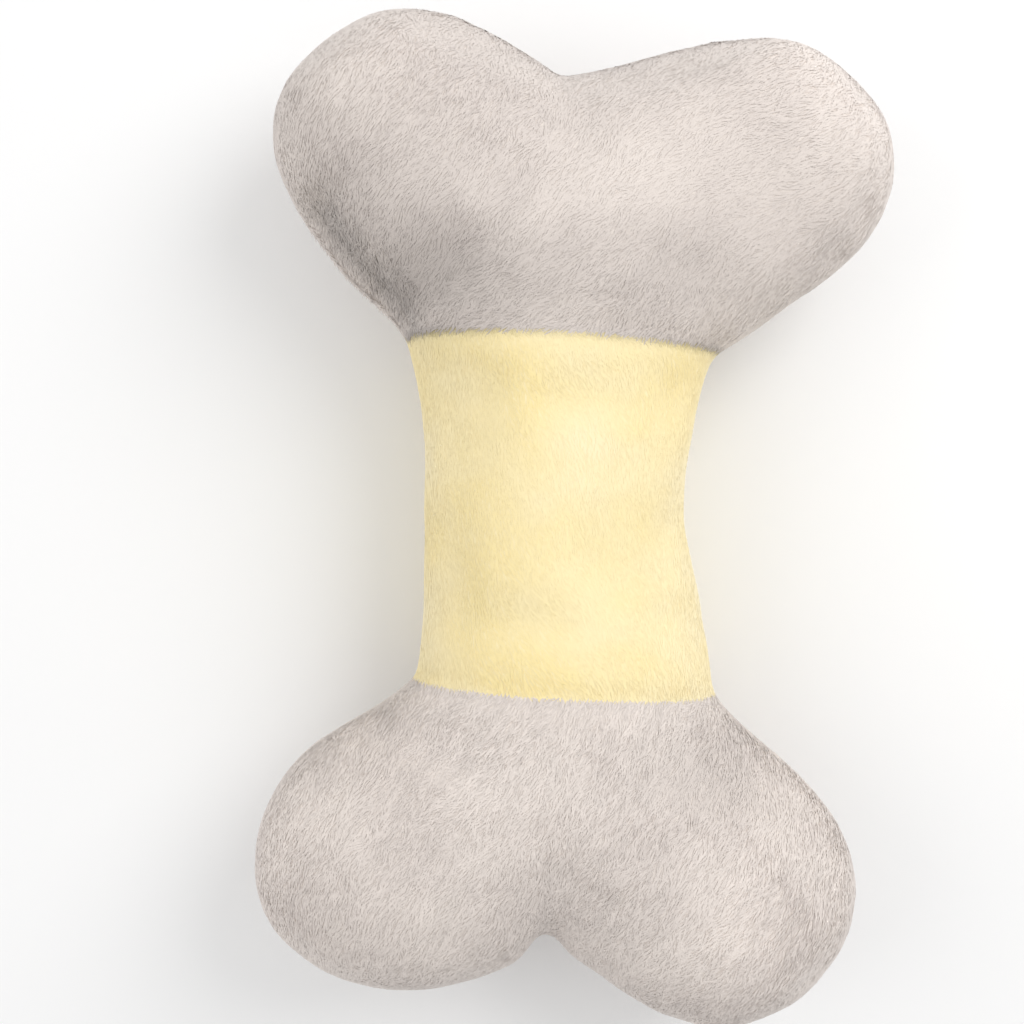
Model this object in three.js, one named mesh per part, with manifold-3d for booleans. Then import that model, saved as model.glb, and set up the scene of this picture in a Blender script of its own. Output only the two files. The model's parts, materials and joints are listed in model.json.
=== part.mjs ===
// A stuffed plush bone with a squeaker in its middle, lying on its back.
// X runs across the bone, Y along it and Z up through its thickness, in millimetres and degrees.
// The origin lies under the middle of the bone, on the surface that it rests on.
import * as THREE from "three";
import { mergeVertices } from "three/addons/utils/BufferGeometryUtils.js";
import Module from "manifold-3d";

const wasm = await Module();
wasm.setup();

const { degToRad, smoothstep, lerp } = THREE.MathUtils;

// Sewn cover
const coverWall = 3; // knitted backing with its pile
const seamAllowance = 3; // how far a cut edge turns in past the wall
const allowanceThickness = 1.2; // one turned-in edge, pressed flat
const threadDiameter = 0.4;
const clearance = 0.3; // gap between neighbouring pieces
const restFlatDepth = 0.5; // how far the stuffed back is pressed flat where it rests

// Squeaker: a round blown bladder with one fold round its rim, and a reed in its front face
const bladderRadius = 14;
const bladderHeight = 17;
const bladderWall = 0.9;
const bladderCorner = 2; // chamfer round both faces
const foldDepth = 3.5;
const foldHalfHeight = 3;
const neckRadius = 3.4; // hole that holds the reed

// Reed, in the neck of the bladder
const flangeRadius = 5.5;
const flangeThickness = 1.2;
const barbOverhang = 0.7;
const barbLength = 2.2;
const holderLength = 4.4; // below the face of the bladder
const holderWall = 0.8;
const reedBedLength = 6.6; // below the face of the bladder
const wedgeLength = 2.6; // below the face of the bladder
const tongueThickness = 0.3;
const tongueWidth = 2.6;
const tongueLength = 6.3; // below the face of the bladder
const tongueTail = 0.3; // above the face of the bladder
const airGrooveWidth = 1.6;
const airGrooveDepth = 0.7;
const toeLength = 0.8; // solid end of the reed bed, past its groove
const toeFall = 0.4; // how far the bed falls away from the tongue at its toe

// Pouch round the squeaker
const pouchWall = 0.6;
const pouchHem = 1.5;

// Band: its waist goes round the pouch with this much room
const sideRoom = 0.9; // between the pouch and the turned-in side seam
const stuffingOverSqueaker = 5.4;
const bandLength = 60;
const waistY = 2.5;
const waistX = -3.2;
const upperSeamX = -3.5;
const lowerSeamX = 0.3;
const upperSeamHalfWidth = 27;
const lowerSeamHalfWidth = 26.5;

// Height of the stuffed form over its middle plane
const seamRise = 20.8;
const forkRise = 24.5;
const lobeRise = 22;

// Lobes of the two ends. "along" is measured from the seam towards the tip of the bone, "across" from its
// long axis. Angles turn from straight across, outwards, towards the tip. The arc of a lobe runs from
// flankAngle to notchAngle, flare is the angle between the long axis and the flank as it leaves the seam,
// and notchRise that of the notch.
const upperForkAlong = 17;
const upperForkAcross = -2.5;
const upperNotchAlong = 47.5;
const upperNotchAcross = -4.5;
const lowerForkAlong = 17;
const lowerForkAcross = 0;
const lowerNotchAlong = 44.5;
const lowerNotchAcross = -0.5;
const upperLeftLobe = {
  across: -32.5,
  along: 34.5,
  radius: 23.5,
  flankAngle: -33,
  notchAngle: 93,
  flare: 42,
  notchRise: 23,
};
const upperRightLobe = {
  across: 31,
  along: 33.5,
  radius: 22.5,
  flankAngle: -56,
  notchAngle: 93,
  flare: 57,
  notchRise: 14,
};
const lowerLeftLobe = {
  across: -28.5,
  along: 31.5,
  radius: 24,
  flankAngle: -33,
  notchAngle: 93,
  flare: 50,
  notchRise: 47,
};
const lowerRightLobe = {
  across: 30,
  along: 34.5,
  radius: 24,
  flankAngle: -36,
  notchAngle: 96,
  flare: 45,
  notchRise: 28,
};
const handleShare = 0.38; // length of a flank's or notch's curve handles, as a share of its chord

// Hand-sewn gap in the left side of the band, through which the cover was turned and stuffed
const closingLength = 38;
const closingPitch = 3;
const closingSwing = 0.6;

// Facets
const spineSteps = 3;
const branchSteps = 4;
const fanSteps = 9;
const bandSteps = 6;
const outerSteps = 7;
const innerSteps = 5;
const turnSegments = 28;
const threadSides = 3; // half the sides of a thread's section
const crossThreadSteps = 14;
const sideThreadSpacing = 4.5;
const weld = 1e-4; // corners closer than this are one corner
const halvings = 40; // of a curve, to find the point on it at a given distance along the bone

// Sizes that follow from the ones above
const seamGap = threadDiameter + 2 * clearance;
const halfGap = seamGap / 2;
const lipEnd = halfGap + allowanceThickness;
const fillInset = coverWall + clearance;
const threadInset = coverWall + seamAllowance / 2;
const fillFloor = lipEnd + clearance;
const faceZ = bladderHeight / 2;
const pouchInnerRadius = bladderRadius + clearance;
const pouchOuterRadius = pouchInnerRadius + pouchWall;
const pouchHemRadius = pouchOuterRadius + pouchHem;
const pouchFrontZ = faceZ + flangeThickness + 2 * clearance;
const pouchBackZ = faceZ + clearance;
const waistHalfWidth = pouchHemRadius + sideRoom + seamAllowance + coverWall;
const waistRise = pouchFrontZ + pouchWall + clearance + stuffingOverSqueaker + fillInset;
const upperSeamY = bandLength / 2;
const lowerSeamY = -bandLength / 2;
const squeakerY = 0;

// Finishes
const finish = (color, roughness) => new THREE.MeshStandardMaterial({ color, roughness, metalness: 0 });
const greyPlush = finish(0xd2c9c4, 0.95);
const yellowPlush = finish(0xf8e9b4, 0.95);
const fibre = finish(0xf4f3ef, 1);
const greyThread = finish(0xb9b0ab, 0.8);
const yellowThread = finish(0xe9d892, 0.8);
const pouchCloth = finish(0xe9e7e1, 0.95);
const softPlastic = finish(0xeeeeea, 0.45);
const reedPlastic = finish(0xd7dbe0, 0.4);
const reedFilm = finish(0xbfd3de, 0.25);

const bone = new THREE.Group();
const squeaker = new THREE.Group();
bone.add(squeaker);

function addPiece(name, geometry, material, parent = bone) {
  geometry.computeVertexNormals();
  const mesh = new THREE.Mesh(geometry, material);
  mesh.name = name;
  parent.add(mesh);
  return mesh;
}

// Closed solids: shared corners merged, collapsed triangles dropped, faces turned outwards
function closedGeometry(points, triangles) {
  const numbers = new Map();
  const positions = [];
  const numberOf = points.map((p) => {
    const key = [p.x, p.y, p.z].map((c) => Math.round(c / weld)).join();
    if (!numbers.has(key)) {
      numbers.set(key, numbers.size);
      positions.push(p.x, p.y, p.z);
    }
    return numbers.get(key);
  });
  let index = triangles.map((t) => t.map((i) => numberOf[i]));
  index = index.filter(([a, b, c]) => a !== b && b !== c && c !== a);
  const corner = (i) => new THREE.Vector3().fromArray(positions, 3 * i);
  const volume = index.reduce((sum, [a, b, c]) => sum + corner(a).dot(corner(b).cross(corner(c))), 0);
  if (volume < 0) index = index.map(([a, b, c]) => [a, c, b]);
  const geometry = new THREE.BufferGeometry();
  geometry.setAttribute("position", new THREE.Float32BufferAttribute(positions, 3));
  geometry.setIndex(index.flat());
  return geometry;
}

function cleaned(geometry) {
  geometry.deleteAttribute("normal");
  geometry.deleteAttribute("uv");
  const merged = mergeVertices(geometry, weld);
  const points = [];
  const position = merged.getAttribute("position");
  for (let i = 0; i < position.count; i++) {
    points.push(new THREE.Vector3().fromBufferAttribute(position, i));
  }
  const triangles = [];
  for (let i = 0; i < merged.index.count; i += 3) {
    triangles.push([0, 1, 2].map((k) => merged.index.getX(i + k)));
  }
  return closedGeometry(points, triangles);
}

function solidOf(geometry) {
  const clean = cleaned(geometry.clone());
  const vertProperties = clean.getAttribute("position").array;
  const triVerts = new Uint32Array(clean.index.array);
  return new wasm.Manifold(new wasm.Mesh({ numProp: 3, vertProperties, triVerts }));
}

function geometryOf(solid) {
  const mesh = solid.getMesh();
  const geometry = new THREE.BufferGeometry();
  geometry.setAttribute("position", new THREE.Float32BufferAttribute(mesh.vertProperties, 3));
  geometry.setIndex(Array.from(mesh.triVerts));
  return geometry;
}

function cut(geometry, ...tools) {
  return geometryOf(tools.reduce((left, tool) => left.subtract(solidOf(tool)), solidOf(geometry)));
}

// Revolves a profile of [radius, height] points about Z
function revolved(profile) {
  const points = profile.map(([radius, height]) => new THREE.Vector2(radius, height));
  return cleaned(new THREE.LatheGeometry(points, turnSegments).rotateX(Math.PI / 2));
}

const box = (x0, x1, y0, y1, z0, z1) =>
  new THREE.BoxGeometry(x1 - x0, y1 - y0, z1 - z0).translate((x0 + x1) / 2, (y0 + y1) / 2, (z0 + z1) / 2);

// The stuffed form is made of rows. A row runs in plan from a point on the outline, its edge, to a point on
// the crest line in the middle of the form, and its section is a quarter of an ellipse as high as the crest.
// Beside a cross seam a row is bare wall first, then has the edge turned in along the seam, and then is
// plain.
const plain = { sideTurn: true, crossTurn: false };
const bareWall = { sideTurn: false, crossTurn: false };
const turnedIn = { sideTurn: true, crossTurn: true };
const row = (edge, crest, rise, kind = plain) => ({ edge, crest, rise, ...kind });

function formPoint({ edge, crest, rise }, inset, angle) {
  const out = edge.clone().sub(crest);
  const reach = out.length() - inset;
  const plan = crest.clone().addScaledVector(out.normalize(), reach * Math.cos(angle));
  return new THREE.Vector3(plan.x, plan.y, (rise - inset) * Math.sin(angle));
}

const angleAtHeight = (r, inset, height) => Math.asin(height / (r.rise - inset));
const formPointAtHeight = (r, inset, height) => formPoint(r, inset, angleAtHeight(r, inset, height));

function formArc(r, inset, fromAngle, toAngle, steps) {
  const pointAt = (share) => formPoint(r, inset, lerp(fromAngle, toAngle, share));
  return Array.from({ length: steps + 1 }, (_, i) => pointAt(i / steps));
}

const mirroredDown = (points) => points.map((p) => new THREE.Vector3(p.x, p.y, -p.z));

// Lofts strips of sections. Flat caps close them, each between the last section of one strip and the first
// section of the same strip or another.
function loft(strips, sectionOf, caps) {
  const points = [];
  const triangles = [];
  const numbered = strips.map((strip) => strip.map((r) => sectionOf(r).map((p) => points.push(p) - 1)));
  for (const sections of numbered) {
    for (let i = 0; i + 1 < sections.length; i++) {
      for (let j = 0; j + 1 < sections[i].length; j++) {
        const [a, b] = sections[i].slice(j, j + 2);
        const [c, d] = sections[i + 1].slice(j, j + 2);
        triangles.push([a, b, c], [c, b, d]);
      }
    }
  }
  for (const [lastOf, firstOf] of caps) {
    const ring = [...numbered[lastOf].at(-1), ...numbered[firstOf][0].slice().reverse()];
    const distinct = ring.filter((n, i) => points[n].distanceTo(points[ring.at(i - 1)]) > weld);
    const flat = distinct.map((n) => new THREE.Vector2(points[n].x, points[n].z));
    const turn = Math.sign(THREE.ShapeUtils.area(flat));
    for (const face of THREE.ShapeUtils.triangulateShape(flat, [])) {
      const same = Math.sign(THREE.ShapeUtils.area(face.map((k) => flat[k]))) === turn;
      const corners = face.map((k) => distinct[k]);
      triangles.push(same ? corners : corners.reverse());
    }
  }
  return closedGeometry(points, triangles);
}

// Band in plan: its middle line, half width and rise at a distance along the bone
function bandAt(y) {
  const up = y > waistY;
  const share = (y - waistY) / ((up ? upperSeamY : lowerSeamY) - waistY);
  const halfWidth = lerp(waistHalfWidth, up ? upperSeamHalfWidth : lowerSeamHalfWidth, share ** 2);
  const middle = lerp(waistX, up ? upperSeamX : lowerSeamX, smoothstep(share, 0, 1));
  return { halfWidth, middle, rise: lerp(waistRise, seamRise, share ** 2) };
}

function bandRow(side, y, kind = plain) {
  const { halfWidth, middle, rise } = bandAt(y);
  return row(new THREE.Vector2(middle + side * halfWidth, y), new THREE.Vector2(middle, y), rise, kind);
}

// How a piece starts at a cross seam: the distance of each row from the seam, and its kind
const panelSeam = [
  [clearance / 2, bareWall],
  [halfGap, bareWall],
  [halfGap, turnedIn],
  [lipEnd, turnedIn],
  [lipEnd, plain],
];
const fillSeam = [
  [clearance / 2, turnedIn],
  [lipEnd + clearance, turnedIn],
  [lipEnd + clearance, plain],
];
const seamDepth = (seam) => seam.at(-1)[0];

// Rows of one side of the band, between its two seams
function bandSide(side, seam) {
  const [low, high] = [lowerSeamY + seamDepth(seam), upperSeamY - seamDepth(seam)];
  const rows = seam.map(([gap, kind]) => bandRow(side, lowerSeamY + gap, kind));
  for (let i = 1; i < bandSteps; i++) rows.push(bandRow(side, lerp(low, high, i / bandSteps)));
  rows.push(...seam.map(([gap, kind]) => bandRow(side, upperSeamY - gap, kind)).reverse());
  return rows;
}

const bandStrips = (seam) => [bandSide(-1, seam), bandSide(1, seam).reverse()];
const bandCaps = [
  [0, 1],
  [1, 0],
];

// One end of the bone. towards is +1 for the upper end and -1 for the lower one.
function endPlan(towards, seamY, seamX, seamHalfWidth, fork, notch, lobes) {
  const place = (across, along) => new THREE.Vector2(across, seamY + towards * along);
  return {
    towards,
    seamY,
    seamX,
    seamHalfWidth,
    fork: place(...fork),
    notch: place(...notch),
    lobes,
    place,
  };
}

const upperEnd = endPlan(
  1,
  upperSeamY,
  upperSeamX,
  upperSeamHalfWidth,
  [upperForkAcross, upperForkAlong],
  [upperNotchAcross, upperNotchAlong],
  [upperLeftLobe, upperRightLobe],
);
const lowerEnd = endPlan(
  -1,
  lowerSeamY,
  lowerSeamX,
  lowerSeamHalfWidth,
  [lowerForkAcross, lowerForkAlong],
  [lowerNotchAcross, lowerNotchAlong],
  [lowerLeftLobe, lowerRightLobe],
);

// Outline of one lobe: its flank from the seam, the arc about its centre, and its side of the notch
function lobeOutline(end, lobe, side) {
  const direction = (degrees) =>
    new THREE.Vector2(side * Math.cos(degToRad(degrees)), end.towards * Math.sin(degToRad(degrees)));
  const centre = end.place(lobe.across, lobe.along);
  const onArc = (degrees) => centre.clone().addScaledVector(direction(degrees), lobe.radius);
  const seam = new THREE.Vector2(end.seamX + side * end.seamHalfWidth, end.seamY);
  const curve = (from, fromWay, to, toWay) => {
    const handle = handleShare * from.distanceTo(to);
    const first = from.clone().addScaledVector(fromWay, handle);
    return new THREE.CubicBezierCurve(from, first, to.clone().addScaledVector(toWay, handle), to);
  };
  const { flankAngle, notchAngle, flare, notchRise } = lobe;
  const flank = curve(seam, direction(90 - flare), onArc(flankAngle), direction(flankAngle - 90));
  const notch = curve(onArc(notchAngle), direction(notchAngle + 90), end.notch, direction(notchRise));
  return { centre, flank, notch, onArc };
}

// How far along a curve, from 0 to 1, it reaches y
function shareAtY(curve, y) {
  const rising = curve.getPoint(1).y > curve.getPoint(0).y;
  let [low, high] = [0, 1];
  for (let i = 0; i < halvings; i++) {
    const middle = (low + high) / 2;
    if (curve.getPoint(middle).y < y === rising) low = middle;
    else high = middle;
  }
  return low;
}

// Rows from one seam round a lobe to the notch. The crest line climbs the spine to the fork and goes out to
// the lobe's centre.
function lobeRows(end, lobe, side, seam) {
  const { centre, flank, notch, onArc } = lobeOutline(end, lobe, side);
  const lipY = end.seamY + end.towards * seamDepth(seam);
  const spineAt = (y) => {
    const share = (y - end.seamY) / (end.fork.y - end.seamY);
    const crest = new THREE.Vector2(lerp(end.seamX, end.fork.x, share), y);
    return { crest, rise: lerp(seamRise, forkRise, Math.sin((share * Math.PI) / 2)) };
  };
  const branchAt = (share) => ({
    crest: end.fork.clone().lerp(centre, share),
    rise: lerp(forkRise, lobeRise, smoothstep(share, 0, 1)),
  });
  const rows = seam.map(([gap, kind]) => {
    const y = end.seamY + end.towards * gap;
    const { crest, rise } = spineAt(y);
    return row(flank.getPoint(shareAtY(flank, y)), crest, rise, kind);
  });
  const lipShare = shareAtY(flank, lipY);
  const spineLength = Math.abs(end.fork.y - lipY);
  const branchLength = end.fork.distanceTo(centre);
  const flankPoint = (gone) => flank.getPoint(lerp(lipShare, 1, gone / (spineLength + branchLength)));
  for (let i = 1; i <= spineSteps; i++) {
    const { crest, rise } = spineAt(lerp(lipY, end.fork.y, i / spineSteps));
    rows.push(row(flankPoint((spineLength * i) / spineSteps), crest, rise));
  }
  for (let i = 1; i <= branchSteps; i++) {
    const { crest, rise } = branchAt(i / branchSteps);
    rows.push(row(flankPoint(spineLength + (branchLength * i) / branchSteps), crest, rise));
  }
  for (let i = 1; i < fanSteps; i++) {
    rows.push(row(onArc(lerp(lobe.flankAngle, lobe.notchAngle, i / fanSteps)), centre, lobeRise));
  }
  for (let i = 0; i <= branchSteps; i++) {
    const { crest, rise } = branchAt(1 - i / branchSteps);
    rows.push(row(notch.getPoint(i / branchSteps), crest, rise));
  }
  return rows;
}

// Rows of a whole end, from its left seam round both lobes to its right seam
function endStrips(end, seam) {
  const [left, right] = end.lobes.map((lobe, i) => lobeRows(end, lobe, i ? 1 : -1, seam));
  return [[...left, ...right.reverse().slice(1)]];
}

const endCaps = [[0, 0]];

// Section of a cover panel: the outer face from the crest to the side seam, the turned-in edge with room for
// the thread, and the inner face
function panelSection(r) {
  const turned = coverWall + (r.sideTurn ? seamAllowance : 0);
  const inner = coverWall + (r.crossTurn ? seamAllowance : 0);
  return [
    ...formArc(r, 0, Math.PI / 2, angleAtHeight(r, 0, clearance / 2), outerSteps),
    formPointAtHeight(r, coverWall, clearance / 2),
    formPointAtHeight(r, coverWall, halfGap),
    formPointAtHeight(r, turned, halfGap),
    formPointAtHeight(r, turned, lipEnd),
    ...formArc(r, inner, angleAtHeight(r, inner, lipEnd), Math.PI / 2, innerSteps),
  ];
}

// Section of an end's stuffing, from the front crest round the turned-in side seam to the back crest
function endFillSection(r) {
  const inset = fillInset + (r.crossTurn ? seamAllowance : 0);
  const front = [
    ...formArc(r, inset, Math.PI / 2, angleAtHeight(r, inset, fillFloor), innerSteps),
    formPointAtHeight(r, fillInset + seamAllowance, fillFloor),
  ];
  return [...front, ...mirroredDown(front).reverse()];
}

// Section of half the band's stuffing, down to a flat floor just clear of the turned-in side seam
function bandFillSection(r) {
  const inset = fillInset + (r.crossTurn ? seamAllowance : 0);
  return [
    ...formArc(r, inset, Math.PI / 2, angleAtHeight(r, inset, fillFloor), innerSteps),
    new THREE.Vector3(r.crest.x, r.crest.y, fillFloor),
  ];
}

const backOf = (section) => (r) => mirroredDown(section(r));

// Cover panels. The back of each end is pressed flat where the bone rests.
const farAway = 500;
const restZ = -(forkRise - restFlatDepth);
const surface = () => box(-farAway, farAway, -farAway, farAway, restZ - farAway, restZ);
for (const [name, end] of [
  ["upper_end", upperEnd],
  ["lower_end", lowerEnd],
]) {
  const strips = endStrips(end, panelSeam);
  addPiece(`${name}_front`, loft(strips, panelSection, endCaps), greyPlush);
  addPiece(`${name}_back`, cut(loft(strips, backOf(panelSection), endCaps), surface()), greyPlush);
}
const bandPanelStrips = bandStrips(panelSeam);
addPiece("band_front", loft(bandPanelStrips, panelSection, bandCaps), yellowPlush);
addPiece("band_back", loft(bandPanelStrips, backOf(panelSection), bandCaps), yellowPlush);

// Pouch, one profile for each half: a cap over the squeaker with a hem at the middle plane
function pouchProfile(topZ, shoulder, offset) {
  const corner = bladderCorner + offset;
  return [
    [0, topZ + offset],
    [shoulder + offset, topZ + offset],
    [pouchInnerRadius + offset - corner, faceZ + clearance + offset],
    [pouchInnerRadius + offset, faceZ + clearance + offset - corner],
  ];
}

function pouchCap(topZ, shoulder) {
  const outer = pouchProfile(topZ, shoulder, pouchWall);
  const inner = pouchProfile(topZ, shoulder, 0);
  const hem = [
    [pouchOuterRadius, halfGap + pouchWall],
    [pouchHemRadius, halfGap + pouchWall],
    [pouchHemRadius, halfGap],
    [pouchInnerRadius, halfGap],
  ];
  return revolved([...outer, ...hem, ...inner.reverse()]);
}

// Hollow that the stuffing leaves for half the pouch
function pouchHollow(topZ, shoulder) {
  const outside = pouchProfile(topZ, shoulder, pouchWall + clearance);
  return revolved([...outside, [pouchOuterRadius + clearance, 0], [0, 0]]);
}

// Stuffing: a wad in each end, and a front and a back wad in the band, hollowed for the pouch
const squeakerX = bandAt(squeakerY).middle;
const reedShoulder = flangeRadius + clearance;
const intoPlace = (geometry) => geometry.translate(squeakerX, squeakerY, 0);
const turnedOver = (geometry) => geometry.rotateX(Math.PI);
addPiece("upper_filling", loft(endStrips(upperEnd, fillSeam), endFillSection, endCaps), fibre);
addPiece("lower_filling", loft(endStrips(lowerEnd, fillSeam), endFillSection, endCaps), fibre);
const bandFillStrips = bandStrips(fillSeam);
const frontFill = loft(bandFillStrips, bandFillSection, bandCaps);
const backFill = loft(bandFillStrips, backOf(bandFillSection), bandCaps);
const frontHollow = intoPlace(pouchHollow(pouchFrontZ, reedShoulder));
const backHollow = intoPlace(turnedOver(pouchHollow(pouchBackZ, 0)));
addPiece("band_front_filling", cut(frontFill, frontHollow), fibre);
addPiece("band_back_filling", cut(backFill, backHollow), fibre);

// Sewing thread along a path
function thread(points, steps) {
  const section = new THREE.Shape().absarc(0, 0, threadDiameter / 2, 0, 2 * Math.PI);
  const extrudePath = new THREE.CatmullRomCurve3(points);
  return cleaned(new THREE.ExtrudeGeometry(section, { steps, curveSegments: threadSides, extrudePath }));
}

// Cross seams: each runs over the front or the back, from one side seam to the other
function crossSeam(y, side) {
  const [left, right] = [-1, 1].map((way) => bandRow(way, y));
  const low = angleAtHeight(left, threadInset, threadDiameter / 2 + clearance);
  const half = (r) => formArc(r, threadInset, low, Math.PI / 2, crossThreadSteps / 2);
  const points = [...half(left), ...half(right).reverse().slice(1)];
  return thread(side > 0 ? points : mirroredDown(points), crossThreadSteps);
}
addPiece("upper_front_seam_thread", crossSeam(upperSeamY, 1), greyThread);
addPiece("upper_back_seam_thread", crossSeam(upperSeamY, -1), greyThread);
addPiece("lower_front_seam_thread", crossSeam(lowerSeamY, 1), greyThread);
addPiece("lower_back_seam_thread", crossSeam(lowerSeamY, -1), greyThread);

// Side seam: round the whole outline, from the top of the hand-sewn gap in the band's left side to its
// bottom
const closingTop = waistY + closingLength / 2;
const closingBottom = waistY - closingLength / 2;
const sideSeamPoint = (r) => formPoint(r, threadInset, 0);
const bandEdge = (side, from, to) => {
  const steps = Math.max(2, Math.round(Math.abs(to - from) / sideThreadSpacing));
  const pointAt = (share) => sideSeamPoint(bandRow(side, lerp(from, to, share)));
  return Array.from({ length: steps + 1 }, (_, i) => pointAt(i / steps));
};
const endEdge = (end) => {
  const [rows] = endStrips(end, panelSeam);
  return rows.filter((r) => r.sideTurn && !r.crossTurn).map(sideSeamPoint);
};
const sideSeamPath = [
  ...bandEdge(-1, closingTop + closingPitch / 2, upperSeamY - lipEnd),
  ...endEdge(upperEnd),
  ...bandEdge(1, upperSeamY - lipEnd, lowerSeamY + lipEnd),
  ...endEdge(lowerEnd).reverse(),
  ...bandEdge(-1, lowerSeamY + lipEnd, closingBottom - closingPitch / 2),
];
const sideSeamLength = new THREE.CatmullRomCurve3(sideSeamPath).getLength();
const sideSeamSteps = Math.round(sideSeamLength / sideThreadSpacing);
addPiece("side_seam_thread", thread(sideSeamPath, sideSeamSteps), greyThread);

// Ladder stitches that close the gap, swinging in and out between the two folded edges
const stitchCount = Math.round((closingTop - closingBottom) / closingPitch);
const stitchPath = Array.from({ length: 2 * stitchCount + 1 }, (_, i) => {
  const y = lerp(closingBottom, closingTop, i / (2 * stitchCount));
  const swing = closingSwing * (i % 2 ? 1 : -1);
  return formPoint(bandRow(-1, y), threadInset + swing, 0);
});
addPiece("closing_stitches", thread(stitchPath, 4 * stitchCount), yellowThread);

// Squeaker, about its own axis
squeaker.position.set(squeakerX, squeakerY, 0);
const bladderSide = (inset) => {
  const radius = bladderRadius - inset;
  const height = faceZ - inset;
  const fold = foldHalfHeight + inset / 2;
  const upper = [
    [radius - bladderCorner, height],
    [radius, height - bladderCorner],
    [radius, fold],
  ];
  const lower = upper.map(([r, z]) => [r, -z]).reverse();
  return [...upper, [radius - foldDepth, 0], ...lower];
};
const bladderProfile = [
  [0, -faceZ],
  ...bladderSide(0).reverse(),
  [neckRadius, faceZ],
  [neckRadius, faceZ - bladderWall],
  ...bladderSide(bladderWall),
  [0, bladderWall - faceZ],
];
addPiece("squeaker_bladder", revolved(bladderProfile), softPlastic, squeaker);
addPiece("pouch_front", pouchCap(pouchFrontZ, reedShoulder), pouchCloth, squeaker);
addPiece("pouch_back", turnedOver(pouchCap(pouchBackZ, 0)), pouchCloth, squeaker);
const hemMiddle = pouchHemRadius - pouchHem / 2;
const pouchRing = new THREE.TorusGeometry(hemMiddle, threadDiameter / 2, 2 * threadSides, turnSegments);
addPiece("pouch_thread", cleaned(pouchRing), greyThread, squeaker);

// Reed: a holder snapped into the neck, and in its bore a bed and a wedge with the tongue between them
const stemRadius = neckRadius - clearance;
const boreRadius = stemRadius - holderWall;
const barbTop = faceZ - bladderWall - clearance;
const holderProfile = [
  [boreRadius, faceZ + clearance + flangeThickness],
  [boreRadius, faceZ - holderLength],
  [stemRadius, faceZ - holderLength],
  [stemRadius, barbTop - barbLength],
  [neckRadius + barbOverhang, barbTop - barbLength / 3],
  [neckRadius + barbOverhang, barbTop],
  [stemRadius, barbTop],
  [stemRadius, faceZ + clearance],
  [flangeRadius, faceZ + clearance],
  [flangeRadius, faceZ + clearance + flangeThickness],
  [boreRadius, faceZ + clearance + flangeThickness],
];
addPiece("reed_holder", revolved(holderProfile), reedPlastic, squeaker);

// A bar that fills one side of the bore, from the flange down to a length below the face
const slotHalf = tongueThickness / 2 + clearance;
function boreBar(side, length) {
  const radius = boreRadius - clearance;
  const spread = Math.acos(slotHalf / radius);
  const middle = side > 0 ? 0 : Math.PI;
  const segment = new THREE.Shape().absarc(0, 0, radius, middle - spread, middle + spread);
  const bar = new THREE.ExtrudeGeometry(segment, {
    depth: length + flangeThickness,
    bevelEnabled: false,
    curveSegments: turnSegments / 4,
  });
  return bar.translate(0, 0, faceZ - length);
}
addPiece("reed_wedge", cleaned(boreBar(1, wedgeLength)), reedPlastic, squeaker);

const bedFoot = faceZ - reedBedLength;
const grooveCut = box(
  -slotHalf - airGrooveDepth,
  slotHalf,
  -airGrooveWidth / 2,
  airGrooveWidth / 2,
  bedFoot + toeLength,
  faceZ + 2 * flangeThickness,
);
const fallShape = new THREE.Shape([
  new THREE.Vector2(-slotHalf, faceZ - wedgeLength),
  new THREE.Vector2(-slotHalf - toeFall, bedFoot - toeLength),
  new THREE.Vector2(slotHalf, bedFoot - toeLength),
  new THREE.Vector2(slotHalf, faceZ - wedgeLength),
]);
const fallCut = new THREE.ExtrudeGeometry(fallShape, { depth: 2 * boreRadius, bevelEnabled: false });
fallCut.rotateX(Math.PI / 2).translate(0, boreRadius, 0);
addPiece("reed_bed", cut(boreBar(-1, reedBedLength), grooveCut, fallCut), reedPlastic, squeaker);

const tongueHalf = tongueWidth / 2;
const tongueTip = faceZ - tongueLength;
const tongueShape = new THREE.Shape()
  .moveTo(-tongueHalf, faceZ + tongueTail)
  .lineTo(-tongueHalf, tongueTip + tongueHalf)
  .absarc(0, tongueTip + tongueHalf, tongueHalf, Math.PI, 2 * Math.PI)
  .lineTo(tongueHalf, faceZ + tongueTail);
const strip = { depth: tongueThickness, bevelEnabled: false, curveSegments: turnSegments / 4 };
const tongue = new THREE.ExtrudeGeometry(tongueShape, strip);
tongue.translate(0, 0, -tongueThickness / 2).rotateX(Math.PI / 2).rotateZ(Math.PI / 2);
addPiece("reed_tongue", cleaned(tongue), reedFilm, squeaker);

// The origin goes under the middle of the outline, on the surface that the back rests on
const outline = [upperEnd, lowerEnd].flatMap((end) => endStrips(end, panelSeam)[0].map((r) => r.edge));
const middle = new THREE.Box2().setFromPoints(outline).getCenter(new THREE.Vector2());
bone.position.set(-middle.x, -middle.y, -restZ);

export default bone;
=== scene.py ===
# Looks of a stuffed plush bone with a squeaker in it, around its CAD frame: metres, Z up, back on the floor
import json
import math

import bmesh
import bpy
import numpy as np
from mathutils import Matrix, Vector, noise


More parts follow.
